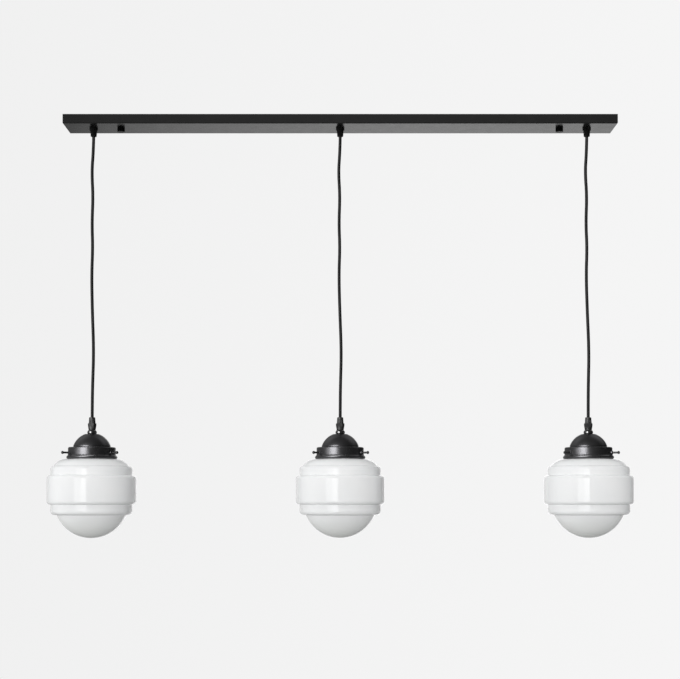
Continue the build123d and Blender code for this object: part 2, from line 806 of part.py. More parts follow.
def wire_routes(place):
    """Routes of one colour of wire from the three tails to its pole, -1, 0 or 1 places from the middle."""
    pole = place * terminal_pole_pitch
    side = wire_spread * place
    rise = wire_rise if place == 0 else -wire_dip
    upper = terminal_level + wire_stack
    lower = terminal_level - wire_stack
    lx, ly, lz = left_tail_end
    mx, my, mz = middle_tail_end
    rx, ry, rz = right_tail_end
    return [
        [
            (lx + wire_start, ly + side, lz + rise),
            (lx + 0.4 * left_tail_gap, ly + 1.7 * side, upper + wire_dip),
            (block_left - 0.15 * left_tail_gap, pole, upper),
            (block_left + wire_depth, pole, upper),
        ],
        [
            (mx + wire_start, my + side, mz + rise),
            (mx + 0.2 * middle_tail_gap, my + 1.4 * side, mz + rise),
            (block_left - 0.3 * middle_tail_gap, pole, lower),
            (block_left + wire_depth, pole, lower),
        ],
        [
            (rx - wire_start, ry + side, rz + rise),
            (rx - 0.27 * right_tail_gap, ry + 1.8 * side, rz + wire_stack + rise / 2),
            (block_right + 0.24 * right_tail_gap, pole, upper),
            (block_right - wire_depth, pole, upper),
        ],
    ]


# Wires of the three colours, the earth with one more lead to the earth screw
for place, name in ((-1, "live_wires"), (0, "neutral_wires"), (1, "earth_wires")):
    with BuildPart() as wires:
        for points in wire_routes(place):
            add_tube(points, wire_radius)
        if place == 1:
            lead_y = terminal_pole_pitch
            lead_z = terminal_level - wire_stack
            lead_floor = floor + wire_radius + fit_gap
            lead_end = earth_x - earth_washer_radius - fit_gap
            lead_run = lead_end - block_right
            add_tube(
                [
                    (block_right - wire_depth, lead_y, lead_z),
                    (block_right + 0.16 * lead_run, lead_y, lead_z),
                    (block_right + 0.49 * lead_run, 2 * lead_y, lead_floor),
                    (lead_end, earth_y, lead_floor),
                ],
                wire_radius,
            )
    write(wires.part, name)

# Earth screw of the beam: washer and pan head
with BuildPart() as earth_screw:
    with BuildSketch(Plane.XY.offset(floor)):
        with Locations((earth_x, earth_y)):
            Circle(earth_washer_radius)
    extrude(amount=earth_washer_height)
    with BuildSketch(Plane.XY.offset(floor + earth_washer_height)):
        with Locations((earth_x, earth_y)):
            Circle(earth_head_radius)
    extrude(amount=earth_head_height)
    fillet(earth_screw.edges().group_by(Axis.Z)[-1], radius=earth_head_height / 3)
write(earth_screw.part, "earth_screw")
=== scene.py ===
import json
from math import asin, atan2, cos, degrees, pi, radians, sin, sqrt, tan

import bmesh
import bpy
from mathutils import Matrix, Vector

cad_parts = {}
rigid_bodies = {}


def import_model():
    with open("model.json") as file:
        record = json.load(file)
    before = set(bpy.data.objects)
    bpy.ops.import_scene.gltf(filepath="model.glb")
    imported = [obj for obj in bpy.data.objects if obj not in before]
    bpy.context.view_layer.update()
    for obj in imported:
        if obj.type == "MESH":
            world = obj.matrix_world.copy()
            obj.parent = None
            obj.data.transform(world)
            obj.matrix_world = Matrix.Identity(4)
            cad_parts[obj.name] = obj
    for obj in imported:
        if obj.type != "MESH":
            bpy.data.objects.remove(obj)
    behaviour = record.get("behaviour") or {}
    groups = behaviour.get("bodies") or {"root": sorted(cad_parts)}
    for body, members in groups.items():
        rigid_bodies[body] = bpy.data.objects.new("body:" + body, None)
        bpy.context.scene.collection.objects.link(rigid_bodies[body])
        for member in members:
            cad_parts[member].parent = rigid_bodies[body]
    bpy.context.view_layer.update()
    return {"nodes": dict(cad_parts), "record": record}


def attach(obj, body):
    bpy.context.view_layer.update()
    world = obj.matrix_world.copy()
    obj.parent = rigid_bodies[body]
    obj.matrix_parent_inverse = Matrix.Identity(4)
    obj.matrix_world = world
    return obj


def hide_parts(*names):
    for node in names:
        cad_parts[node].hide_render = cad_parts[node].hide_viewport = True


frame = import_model()
nodes = frame["nodes"]
scene = bpy.context.scene

# Metres in a millimetre, places along the beam, and directions of the thumb screws in degrees
MM = 0.001
PENDANTS = {"left": -450.0, "middle": 0.0, "right": 450.0}
SCREWS = {"front_left": 212.0, "front_right": 332.0, "back": 92.0}

# Cords, in millimetres; FLOOR is the inside of the beam
FLOOR = -15.8
MOUTH = -32.0
NECK_PIVOT = -26.5
CORD_PIVOT = -31.5
CORD_DROP = 513.1
CORD_HOLD = 14.0
CORD_RADIUS = 2.8
NECK_GAP = 0.3

# Collar, dome and gallery with its screw bosses, in millimetres
HEAD_BORE = 5.1
COLLAR_TOP = -567.85
COLLAR_RADIUS = 8.55
COLLAR_HEAD = 5.5
COLLAR_BULGE = 4.6
DOME_TOP = -575.55
DOME_RADIUS = 35.4
DOME_SEAT = 12.5
DOME_FOOT = 34.2
DOME_SHEET = 1.2
GALLERY_RADIUS = 42.75
GALLERY_HEIGHT = 21.0
GALLERY_SHEET = 1.5
GALLERY_HOLE = 20.3
GALLERY_EDGE = 2.9
SCREW_DEPTH = 10.2
BOSS_RADIUS = 3.7
BOSS_BORE = 1.9
BOSS_REACH = 2.45
BOSS_ROOT = 1.2
DOME_CENTRE = DOME_TOP - sqrt(DOME_RADIUS**2 - DOME_SEAT**2)
GALLERY_TOP = DOME_CENTRE + sqrt(DOME_RADIUS**2 - DOME_FOOT**2)
GALLERY_BOTTOM = GALLERY_TOP - GALLERY_HEIGHT
SCREW_HEIGHT = GALLERY_TOP - SCREW_DEPTH

# Glass, in millimetres: radii of its bands, and heights of its steps above its lowest point
SHADE_HEIGHT = 143.0
SHADE_GAP = 0.3
GLASS_WALL = 2.8
STEP_RADIUS = 73.3
MAIN_RADIUS = 80.3
STEP_SWELL = 0.5
LOW_STEP = 42.0
MAIN_LOW = 60.7
MAIN_HIGH = 113.5
HIGH_STEP = 130.0
BOWL_RADIUS = 66.8
SHOULDER_RADIUS = 27.0
SHOULDER_CENTRE = 45.0
NECK_OUTER = 37.4
NECK_INNER = 34.6
LIP_RADIUS = 39.6
NECK_HEADROOM = 2.0
LIP_REST = 2.05
SHADE_BOTTOM = GALLERY_BOTTOM - SHADE_GAP - SHADE_HEIGHT
NECK_TOP = GALLERY_TOP - NECK_HEADROOM
LIP_BOTTOM = SCREW_HEIGHT + LIP_REST

# Camera in metres and degrees, fitted to the beam's corners, the grips and the glasses
PHOTO_WIDTH = 680.0
FOCAL_PIXELS = 1384.0
SHIFT_PIXELS = 116.7
SENSOR = 36.0
CAMERA_PLACE = (0.0, -2.508, -0.690)
CAMERA_PITCH = 1.7
CAMERA_LENS = SENSOR * FOCAL_PIXELS / PHOTO_WIDTH
CAMERA_SHIFT = (-0.0003, SHIFT_PIXELS / PHOTO_WIDTH)

# Lamps stand on a sphere round the middle of the object, in metres, with watts per square metre
LAMP_TARGET = (0.0, 0.0, -0.6)
LAMP_DISTANCE = 16.0
LAMP_POWER = 4.0


def add_node(tree, kind, inputs=(), **settings):
    """Adds a shader node with its settings and with the values or links of its inputs."""
    node = tree.nodes.new(kind)
    for key, value in settings.items():
        setattr(node, key, value)
    for key, value in dict(inputs).items():
        if isinstance(value, bpy.types.NodeSocket):
            tree.links.new(value, node.inputs[key])
        else:
            node.inputs[key].default_value = value
    return node


def principled(name, sockets):
    """A new material with the constant sockets of its shader set, as (material, tree, shader)."""
    material = bpy.data.materials.new(name)
    material.use_nodes = True
    shader = material.node_tree.nodes["Principled BSDF"]
    for key, value in sockets.items():
        shader.inputs[key].default_value = value
    return material, material.node_tree, shader


def own_places(tree):
    """Places in the frame of the piece itself."""
    return add_node(tree, "ShaderNodeTexCoord").outputs["Object"]


def noise(tree, places, scale, detail=2.0):
    """Cloudy value over places."""
    inputs = {"Vector": places, "Scale": scale, "Detail": detail}
    return add_node(tree, "ShaderNodeTexNoise", inputs).outputs["Fac"]


def maths(tree, operation, *values):
    """Result of a maths operation on one or two values."""
    return add_node(tree, "ShaderNodeMath", enumerate(values), operation=operation).outputs["Value"]


def ramp(tree, value, *stops, interpolation="LINEAR"):
    """Colour ramp over (position, colour) stops."""
    node = add_node(tree, "ShaderNodeValToRGB", {"Fac": value})
    node.color_ramp.interpolation = interpolation
    elements = node.color_ramp.elements
    while len(elements) < len(stops):
        elements.new(0.5)
    for element, (position, colour) in zip(elements, stops):
        element.position = position
        element.color = (*colour, 1.0)
    return node.outputs["Color"]


def spread(tree, value, low, high, bottom=0.35, top=0.65):
    """A value mapped from bottom and top, by default the middle of a noise, to low and high."""
    inputs = {"Value": value, "From Min": bottom, "From Max": top, "To Min": low, "To Max": high}
    return add_node(tree, "ShaderNodeMapRange", inputs).outputs["Result"]


def grey(value):
    """Neutral colour."""
    return (value, value, value)


def dress(tree, shader, colour, roughness):
    """Links a colour and a roughness to a shader."""
    tree.links.new(colour, shader.inputs["Base Color"])
    tree.links.new(roughness, shader.inputs["Roughness"])


def emboss(tree, shader, height, strength, distance):
    """Links a bump to a shader."""
    bump = add_node(tree, "ShaderNodeBump", {"Height": height, "Strength": strength, "Distance": distance})
    tree.links.new(bump.outputs["Normal"], shader.inputs["Normal"])


def mottled(name, dark, light, cloud_scale, rough, grain_scale, grain, sockets=()):
    """Paint, plastic or metal: tone and gloss drift in soft clouds, and the surface has a fine grain."""
    material, tree, shader = principled(name, dict(sockets))
    places = own_places(tree)
    cloud = noise(tree, places, cloud_scale, 5.0)
    dress(tree, shader, ramp(tree, cloud, (0.35, dark), (0.65, light)), spread(tree, cloud, *rough))
    emboss(tree, shader, noise(tree, places, grain_scale, 3.0), grain, 0.0004)
    return material


def spun_black():
    """Lacquered spun sheet: fine turning lines run round the axis, over walls, tops and domes alike."""
    sockets = {"IOR": 1.9, "Specular Tint": (0.96, 0.95, 1.0, 1.0)}
    material, tree, shader = principled("satin_black", sockets)
    places = own_places(tree)
    xyz = add_node(tree, "ShaderNodeSeparateXYZ", {"Vector": places}).outputs
    flat = add_node(tree, "ShaderNodeCombineXYZ", {"X": xyz["X"], "Y": xyz["Y"]}).outputs["Vector"]
    reach = add_node(tree, "ShaderNodeVectorMath", {0: flat}, operation="LENGTH").outputs["Value"]
    along = maths(tree, "SUBTRACT", reach, xyz["Z"])
    turning = {"W": along, "Scale": 620.0, "Detail": 3.0, "Roughness": 0.6}
    lines = add_node(tree, "ShaderNodeTexNoise", turning, noise_dimensions="1D").outputs["Fac"]
    tone = ramp(tree, lines, (0.3, grey(0.008)), (0.7, grey(0.016)))
    dress(tree, shader, tone, spread(tree, noise(tree, places, 90.0, 4.0), 0.27, 0.33))
    emboss(tree, shader, lines, 0.25, 0.00012)
    return material


def opal_glass():
    """Blown opal glass: milky white with soft clouds, a polished skin, and its lowest part painted darker
    and greyer as painted shade under the bowl.
    """
    material, tree, shader = principled("opal_glass", {"IOR": 1.5, "Specular IOR Level": 0.35})
    places = own_places(tree)
    cloud = noise(tree, places, 16.0, 3.0)
    height = add_node(tree, "ShaderNodeSeparateXYZ", {"Vector": places}).outputs["Z"]
    milk = ramp(tree, cloud, (0.3, (0.865, 0.875, 0.88)), (0.7, (0.89, 0.895, 0.895)))
    # Painted shade: the lowest 45 mm of the glass are painted darker and greyer, fading into the milk above,
    # as shade under the bowl
    foot = ramp(tree, cloud, (0.3, (0.82, 0.84, 0.815)), (0.7, (0.85, 0.865, 0.845)))
    painted_shade_height = 45.0
    rise = spread(tree, height, 0.0, 1.0, SHADE_BOTTOM * MM, (SHADE_BOTTOM + painted_shade_height) * MM)
    colour = add_node(tree, "ShaderNodeMix", {0: rise, 6: foot, 7: milk}, data_type="RGBA").outputs[2]
    dress(tree, shader, colour, spread(tree, cloud, 0.05, 0.09))
    emboss(tree, shader, cloud, 0.06, 0.001)
    return material


def galvanised():
    """Zinc-plated steel with small crystals."""
    material, tree, shader = principled("zinc_steel", {"Metallic": 1.0})
    cells = {"Vector": own_places(tree), "Scale": 260.0}
    crystal = add_node(tree, "ShaderNodeTexVoronoi", cells).outputs["Color"]
    tone = add_node(tree, "ShaderNodeSeparateColor", {"Color": crystal}).outputs["Red"]
    colour = ramp(tree, tone, (0.0, (0.50, 0.51, 0.53)), (1.0, (0.64, 0.65, 0.66)))
    dress(tree, shader, colour, spread(tree, tone, 0.32, 0.5, 0.0, 1.0))
    return material


def striped_wire():
    """Green and yellow insulation."""
    material, tree, shader = principled("wire_green", {"IOR": 1.45})
    places = own_places(tree)
    bands = {"wave_type": "BANDS", "bands_direction": "DIAGONAL"}
    wave = add_node(tree, "ShaderNodeTexWave", {"Vector": places, "Scale": 90.0}, **bands).outputs["Fac"]
    stops = (0.0, (0.03, 0.22, 0.04)), (0.58, (0.62, 0.5, 0.03))
    colour = ramp(tree, wave, *stops, interpolation="CONSTANT")
    dress(tree, shader, colour, spread(tree, noise(tree, places, 400.0), 0.35, 0.5))
    return material


# Dark and light tone, scale of the clouds, range of roughness, scale and depth of the grain, other sockets
METAL = {"Metallic": 1.0}
FINISHES = {
    "beam_paint": (grey(0.012), grey(0.014), 60.0, (0.22, 0.26), 900.0, 0.06, {"IOR": 1.5}),
    "nut_black": (grey(0.006), grey(0.012), 300.0, (0.34, 0.46), 1500.0, 0.10, {"IOR": 1.35}),
    "grip_plastic": (grey(0.016), grey(0.026), 250.0, (0.36, 0.46), 2200.0, 0.15),
    "brass": ((0.60, 0.42, 0.16), (0.74, 0.54, 0.24), 220.0, (0.24, 0.40), 1800.0, 0.10, METAL),
    "terminal_plastic": ((0.66, 0.66, 0.62), (0.76, 0.76, 0.72), 120.0, (0.35, 0.5), 1600.0, 0.10),
    "cord_jacket": (grey(0.005), grey(0.009), 120.0, (0.50, 0.60), 1800.0, 0.05, {"IOR": 1.32}),
    "wire_brown": ((0.10, 0.035, 0.012), (0.14, 0.05, 0.02), 200.0, (0.35, 0.5), 1800.0, 0.08),
    "wire_blue": ((0.012, 0.07, 0.30), (0.02, 0.10, 0.40), 200.0, (0.35, 0.5), 1800.0, 0.08),
    "gloss_black": (grey(0.006), grey(0.010), 200.0, (0.06, 0.10), 1200.0, 0.02, {"IOR": 2.5}),
    "screw_black": (grey(0.012), grey(0.022), 400.0, (0.26, 0.36), 2400.0, 0.10),
    "holder_plastic": (grey(0.014), grey(0.022), 90.0, (0.22, 0.34), 1400.0, 0.05),
    "cap_metal": ((0.70, 0.70, 0.69), (0.80, 0.80, 0.79), 160.0, (0.22, 0.36), 1600.0, 0.06, METAL),
    "bulb_glass": (grey(0.78), grey(0.84), 40.0, (0.30, 0.42), 1200.0, 0.05),
}
MATERIALS = {slot: mottled(slot, *finish) for slot, finish in FINISHES.items()}
MATERIALS["zinc_steel"] = galvanised()
MATERIALS["wire_green"] = striped_wire()
MATERIALS["satin_black"] = spun_black()
MATERIALS["opal_glass"] = opal_glass()


def arc(centre, radius, start, end, steps):
    """Points of an arc in (radius, height) places, from one angle in degrees to another."""
    turns = [radians(start + (end - start) * i / steps) for i in range(steps + 1)]
    return [(centre[0] + radius * cos(a), centre[1] + radius * sin(a)) for a in turns]


def rounded(corners, steps=7):
    """Outline through (radius, height) corners; a third number gives a corner its round."""
    outline = []
    for i, corner in enumerate(corners):
        here = Vector(corner[:2])
        if len(corner) == 2:
            outline.append(tuple(here))
            continue
        a = (Vector(corners[i - 1][:2]) - here).normalized()
        b = (Vector(corners[(i + 1) % len(corners)][:2]) - here).normalized()
        half = a.angle(b) / 2
        middle = here + (a + b).normalized() * (corner[2] / sin(half))
        first = here + a * (corner[2] / tan(half)) - middle
        last = here + b * (corner[2] / tan(half)) - middle
        sweep = first.angle_signed(last)
        for k in range(steps + 1):
            turn = -sweep * k / steps
            x = first.x * cos(turn) - first.y * sin(turn)
            y = first.x * sin(turn) + first.y * cos(turn)
            outline.append((middle.x + x, middle.y + y))
    return outline


def turn_into(mesh, outline, sides, lie=Matrix.Identity(4)):
    """Turns a closed outline of (radius, height) places about an axis, into a mesh being built."""
    rings = []
    for radius, height in outline:
        count = sides if radius > 1e-6 else 1
        turns = [2 * pi * i / sides for i in range(count)]
        spots = [Vector((radius * cos(a), radius * sin(a), height)) * MM for a in turns]
        rings.append([mesh.verts.new(lie @ spot) for spot in spots])
    for lower, upper in zip(rings, rings[1:] + rings[:1]):
        for i in range(sides):
            j = i + 1
            quad = [
                lower[i % len(lower)],
                lower[j % len(lower)],
                upper[j % len(upper)],
                upper[i % len(upper)],
            ]
            face = list(dict.fromkeys(quad))
            if len(face) > 2:
                mesh.faces.new(face)


def settle(mesh, name, sharp=0.62):
    """Ends a mesh being built: outward normals, smooth shading, creases sharper than an angle in radians."""
    bmesh.ops.recalc_face_normals(mesh, faces=mesh.faces)
    for face in mesh.faces:
        face.smooth = True
    for edge in mesh.edges:
        edge.smooth = not (edge.is_manifold and edge.calc_face_angle() > sharp)
    made = bpy.data.meshes.new(name)
    mesh.to_mesh(made)
    mesh.free()
    return made


def turned(name, outline, sides):
    """Mesh of one turned outline."""
    mesh = bmesh.new()
    turn_into(mesh, outline, sides)
    return settle(mesh, name)


def place(data, name, body, slot, *replaced, x=0.0):
    """Puts a piece in the scene: on its body, with its finish, in place of CAD nodes."""
    piece = bpy.data.objects.new(name, data)
    scene.collection.objects.link(piece)
    piece.location.x = x * MM
    data.materials.append(MATERIALS[slot])
    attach(piece, body)
    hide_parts(*replaced)
    return piece


def line_curve(name, routes, radius):
    """Curve of one smooth spline for each route of points."""
    curve = bpy.data.curves.new(name, "CURVE")
    curve.dimensions = "3D"
    curve.bevel_depth = radius * MM
    curve.bevel_resolution = 5
    curve.resolution_u = 10
    curve.use_fill_caps = True
    for points in routes:
        spline = curve.splines.new("NURBS")
        spline.points.add(len(points) - 1)
        for point, (x, y, z) in zip(spline.points, points):
            point.co = (x * MM, y * MM, z * MM, 1.0)
        spline.order_u = 3
        spline.use_endpoint_u = True
        spline.use_smooth = True
    return curve


# Hanging cords: side and depth offsets at shares of the drop
CORD_WAVES = (
    (-0.5, 0.2, 0.055),
    (-3.2, 0.6, 0.125),
    (-0.4, -0.5, 0.215),
    (-2.4, 0.5, 0.309),
    (-0.5, -0.4, 0.397),
    (-2.4, 0.3, 0.493),
    (-0.75, -0.2, 0.622),
    (2.2, 0.4, 0.766),
    (0.4, -0.2, 0.890),
    (0.0, 0.0, 0.972),
)


def hang_cord(side, x):
    """One hanging cord, which goes on from its stub in the grip's bell mouth."""
    route = [(0.0, 0.0, CORD_PIVOT)]
    route += [(dx, dy, MOUTH - share * CORD_DROP) for dx, dy, share in CORD_WAVES]
    route += [(0.0, 0.0, MOUTH - CORD_DROP - CORD_HOLD)]
    curve = line_curve(f"flex_{side}", [route], CORD_RADIUS)
    cord = place(curve, f"flex_{side}", f"cord_{side}", "cord_jacket", f"cord_{side}", x=x)


def cord_neck():
    """Stub of cord in the grip's bell mouth, with a round top."""
    top = [(r, NECK_PIVOT + z) for r, z in arc((0.0, 0.0), CORD_RADIUS, 0, 90, 10)]
    foot = CORD_PIVOT + CORD_RADIUS + NECK_GAP
    outline = [(0.0, foot), (CORD_RADIUS, foot), *top[:-1], (0.0, NECK_PIVOT + CORD_RADIUS)]
    return turned("flex_neck", outline, 32)


# Cords inside the beam: heights where they rise from each grip, then offsets from the grip
TAIL_RISE = (-23.4, -14.5, -5.9)
TAIL_GAP = 0.1
TAIL_FLOOR = FLOOR + CORD_RADIUS + TAIL_GAP
TAILS = {
    -450.0: (
        (12.0, 2.5, -6.5),
        (35.0, 8.0, TAIL_FLOOR),
        (80.6, 13.2, TAIL_FLOOR),
        (151.6, 15.0, TAIL_FLOOR),
        (222.6, 10.8, TAIL_FLOOR),
        (298.6, 15.0, TAIL_FLOOR),
        (374.7, 11.4, TAIL_FLOOR),
        (445.7, 15.6, TAIL_FLOOR),
        (501.4, 12.0, TAIL_FLOOR),
        (542.0, 8.0, TAIL_FLOOR),
    ),
    0.0: (
        (12.0, -2.5, -6.5),
        (35.0, -8.0, TAIL_FLOOR),
        (72.2, -11.4, TAIL_FLOOR),
        (108.0, -8.0, TAIL_FLOOR),
    ),
    450.0: (
        (-12.0, -2.5, -6.5),
        (-35.0, -8.0, TAIL_FLOOR),
        (-80.0, -12.0, TAIL_FLOOR),
        (-148.8, -13.2, TAIL_FLOOR),
        (-215.1, -9.0, TAIL_FLOOR),
        (-272.0, 0.0, TAIL_FLOOR),
    ),
}


def tail_routes():
    """Routes of the three tails, from their grips to the terminal block."""
    routes = []
    for x, offsets in TAILS.items():
        start = [(x, 0.0, z) for z in TAIL_RISE]
        routes.append(start + [(x + dx, dy, z) for dx, dy, z in offsets])
    return routes


# Terminal block, where the wires of the three tails meet in two layers
BLOCK_X = 140.0
BLOCK_HALF = 8.5
POLE_PITCH = 9.0
WIRE_RADIUS = 0.95
CLAMP_HEIGHT = 5.0
WIRE_LAYER = 1.15
WIRE_HIGH = FLOOR + CLAMP_HEIGHT + WIRE_LAYER
WIRE_LOW = FLOOR + CLAMP_HEIGHT - WIRE_LAYER


def wire_routes(pole):
    """Wires of one colour from the three tails to their pole, which is -1, 0 or 1 places from the middle."""
    y = pole * POLE_PITCH
    side = 1.35 * pole
    rise = 1.45 if pole == 0 else -0.8
    left = BLOCK_X - BLOCK_HALF
    right = BLOCK_X + BLOCK_HALF
    return [
        [
            (92.5, 8.0 + side, TAIL_FLOOR + rise),
            (108.0, 8.0 + 1.7 * side, WIRE_HIGH + 0.8),
            (left - 6.0, y, WIRE_HIGH),
            (left + 5.0, y, WIRE_HIGH),
        ],
        [
            (108.5, -8.0 + side, TAIL_FLOOR + rise),
            (113.0, -8.0 + 1.4 * side, TAIL_FLOOR + rise),
            (left - 7.0, y, WIRE_LOW),
            (left + 5.0, y, WIRE_LOW),
        ],
        [
            (177.5, side, TAIL_FLOOR + rise),
            (170.0, 1.8 * side, TAIL_FLOOR + 1.3 + rise / 2),
            (right + 7.0, y, WIRE_HIGH),
            (right - 5.0, y, WIRE_HIGH),
        ],
    ]


# Lead from the block to the earth screw of the beam
EARTH_LEAD = [
    (BLOCK_X + 3.5, POLE_PITCH, WIRE_LOW),
    (BLOCK_X + 14.5, POLE_PITCH, WIRE_LOW),
    (BLOCK_X + 26.5, 18.0, FLOOR + 1.05),
    (185.4, 22.0, FLOOR + 1.05),
]


def shade_outline(inset):
    """Outer or inner outline of the stepped glass, from its lowest point to the foot of its neck."""
    side, main = STEP_RADIUS - inset, MAIN_RADIUS - inset
    low, main_low = SHADE_BOTTOM + LOW_STEP + inset, SHADE_BOTTOM + MAIN_LOW + inset
    main_high, high = SHADE_BOTTOM + MAIN_HIGH - inset, SHADE_BOTTOM + HIGH_STEP - inset
    cap, cap_centre = BOWL_RADIUS - inset, SHADE_BOTTOM + BOWL_RADIUS
    shoulder, shoulder_level = SHOULDER_RADIUS - inset, SHADE_BOTTOM + SHADE_HEIGHT - SHOULDER_RADIUS
    cap_edge = sqrt(cap**2 - (low - cap_centre) ** 2)
    shoulder_edge = SHOULDER_CENTRE + sqrt(shoulder**2 - (high - shoulder_level) ** 2)
    cap_end = degrees(atan2(low - cap_centre, cap_edge))
    shoulder_start = degrees(atan2(high - shoulder_level, shoulder_edge - SHOULDER_CENTRE))
    groove = 0.5 + inset / 10
    steps = rounded(
        [
            (cap_edge, low),
            (side, low, 7.5 - inset),
            (side + STEP_SWELL, (low + main_low) / 2, 12.0),
            (side, main_low, groove),
            (main, main_low, 6.4 - inset),
            (main, main_high, 6.4 - inset),
            (side, main_high, groove),
            (side + STEP_SWELL, (main_high + high) / 2, 12.0),
            (side, high, 5.0 - inset),
            (shoulder_edge, high),
        ]
    )
    bowl = arc((0.0, cap_centre), cap, -90, cap_end, 40)[1:-1]
    top = arc((SHOULDER_CENTRE, shoulder_level), shoulder, shoulder_start, 90, 24)[1:]
    return [(0.0, cap_centre - cap), *bowl, *steps, *top]


def glass_shade():
    """Stepped opal glass, closed below, with a lipped neck that is open above."""
    outer = shade_outline(0.0)
    inner = shade_outline(GLASS_WALL)
    foot = SHADE_BOTTOM + SHADE_HEIGHT
    neck = rounded(
        [
            (SHOULDER_CENTRE, foot),
            (NECK_OUTER, foot, 1.0),
            (NECK_OUTER, LIP_BOTTOM, 0.6),
            (LIP_RADIUS, LIP_BOTTOM, 1.2),
            (LIP_RADIUS, NECK_TOP, 1.2),
            (NECK_INNER, NECK_TOP, 1.0),
            (NECK_INNER, foot - GLASS_WALL, 1.5),
            (SHOULDER_CENTRE - GLASS_WALL, foot - GLASS_WALL),
        ]
    )
    return turned("glass_shade", [*outer[:-1], *neck[:-1], *reversed(inner)], 192)


def dome():
    """Spun dome: a flat seat for the collar, and a short upright skirt over a groove round its foot."""
    skirt, groove, groove_top = 33.5, 32.4, GALLERY_TOP + 1.3
    skirt_top = DOME_CENTRE + sqrt(DOME_RADIUS**2 - skirt**2)
    start = degrees(atan2(skirt_top - DOME_CENTRE, skirt))
    seat = degrees(atan2(DOME_TOP - DOME_CENTRE, DOME_SEAT))
    wall = 2.6
    inner = DOME_RADIUS - wall
    foot_level = GALLERY_TOP - DOME_CENTRE
    inner_start = degrees(atan2(foot_level, sqrt(inner**2 - foot_level**2)))
    seat_level = DOME_TOP - DOME_SHEET - DOME_CENTRE
    inner_seat = degrees(atan2(seat_level, sqrt(inner**2 - seat_level**2)))
    foot = rounded(
        [
            (groove, GALLERY_TOP),
            (groove, groove_top, 0.2),
            (skirt, groove_top, 0.2),
            (skirt, skirt_top),
        ],
        3,
    )
    outline = [
        *foot,
        *arc((0.0, DOME_CENTRE), DOME_RADIUS, start, seat, 40)[1:],
        (HEAD_BORE, DOME_TOP),
        (HEAD_BORE, DOME_TOP - DOME_SHEET),
        *arc((0.0, DOME_CENTRE), inner, inner_seat, inner_start, 32),
    ]
    return turned("spun_dome", outline, 144)


def gallery():
    """Gallery: flat top, straight wall flaring into a rolled lower edge, and three screw bosses."""
    bead, flare = 2.8, 5.5
    centre = (GALLERY_RADIUS + GALLERY_EDGE - bead, GALLERY_BOTTOM + bead)
    out = GALLERY_RADIUS + flare - centre[0]
    rise = sqrt((bead + flare) ** 2 - out**2)
    meet = degrees(atan2(rise, out))
    wall = rounded(
        [
            (GALLERY_RADIUS, centre[1] + rise),
            (GALLERY_RADIUS, GALLERY_TOP, 2.0),
            (GALLERY_HOLE, GALLERY_TOP),
            (GALLERY_HOLE, GALLERY_TOP - GALLERY_SHEET),
            (GALLERY_RADIUS - GALLERY_SHEET, GALLERY_TOP - GALLERY_SHEET, 0.6),
            (GALLERY_RADIUS - GALLERY_SHEET, GALLERY_BOTTOM, 0.4),
        ]
    )
    throat = arc((GALLERY_RADIUS + flare, centre[1] + rise), flare, 180 + meet, 180, 10)
    outline = [*arc(centre, bead, -90, meet, 20), *throat[1:-1], *wall]
    mesh = bmesh.new()
    turn_into(mesh, outline, 160)
    foot, top = GALLERY_RADIUS - BOSS_ROOT, GALLERY_RADIUS + BOSS_REACH
    boss_rim = [(BOSS_RADIUS, top, 0.7), (BOSS_BORE, top, 0.3)]
    boss = rounded([(BOSS_BORE, foot), (BOSS_RADIUS, foot), *boss_rim], 4)
    for angle in SCREWS.values():
        lie = Matrix.Translation((0.0, 0.0, SCREW_HEIGHT * MM)) @ Matrix.Rotation(radians(angle), 4, "Z")
        turn_into(mesh, boss, 32, lie @ Matrix.Rotation(pi / 2, 4, "Y"))
    return settle(mesh, "gallery")


def collar():
    """Flattened ball on top of the dome, widest below its middle."""
    step = COLLAR_RADIUS - COLLAR_HEAD
    radius = (step**2 + COLLAR_BULGE**2) / (2 * step)
    level = COLLAR_TOP - COLLAR_BULGE
    foot = degrees(asin((level - DOME_TOP) / radius))
    head = degrees(asin(COLLAR_BULGE / radius))
    ball = arc((COLLAR_RADIUS - radius, level), radius, -foot, head, 24)
    return turned("collar", [*ball, (HEAD_BORE, COLLAR_TOP), (HEAD_BORE, DOME_TOP)], 72)


# Pieces of each pendant: mesh, finish and the CAD node that it stands for
PENDANT_PIECES = {
    "shade": (glass_shade(), "opal_glass", "glass_shade"),
    "spun_dome": (dome(), "satin_black", "dome"),
    "spun_gallery": (gallery(), "satin_black", "gallery"),
    "ball_collar": (collar(), "gloss_black", "collar"),
}
neck = cord_neck()
for side, x in PENDANTS.items():
    stub = place(neck.copy(), f"flex_neck_{side}", f"neck_{side}", "cord_jacket", f"cord_neck_{side}", x=x)
    hang_cord(side, x)
    for name, (data, slot, node) in PENDANT_PIECES.items():
        place(data.copy(), f"{name}_{side}", f"pendant_{side}", slot, f"{node}_{side}", x=x)

tails = line_curve("flex_tails", tail_routes(), CORD_RADIUS)
place(tails, "flex_tails", "beam", "cord_jacket", "cord_tails")
for pole, name, slot, node in (
    (-1, "live_leads", "wire_brown", "live_wires"),
    (0, "neutral_leads", "wire_blue", "neutral_wires"),
    (1, "earth_leads", "wire_green", "earth_wires"),
):
    routes = wire_routes(pole) + ([EARTH_LEAD] if pole == 1 else [])
    place(line_curve(name, routes, WIRE_RADIUS), name, "beam", slot, node)

# CAD nodes that stay take their finish by their slot in the record
for part in frame["record"]["subparts"]:
    finish = nodes[part["node"]].data.materials
    finish.clear()
    finish.append(MATERIALS[part["material_slot"]])


def camera_ray(tree):
    """One for what the camera sees directly, and nothing for reflections and bounced light."""
    return add_node(tree, "ShaderNodeLightPath").outputs["Is Camera Ray"]


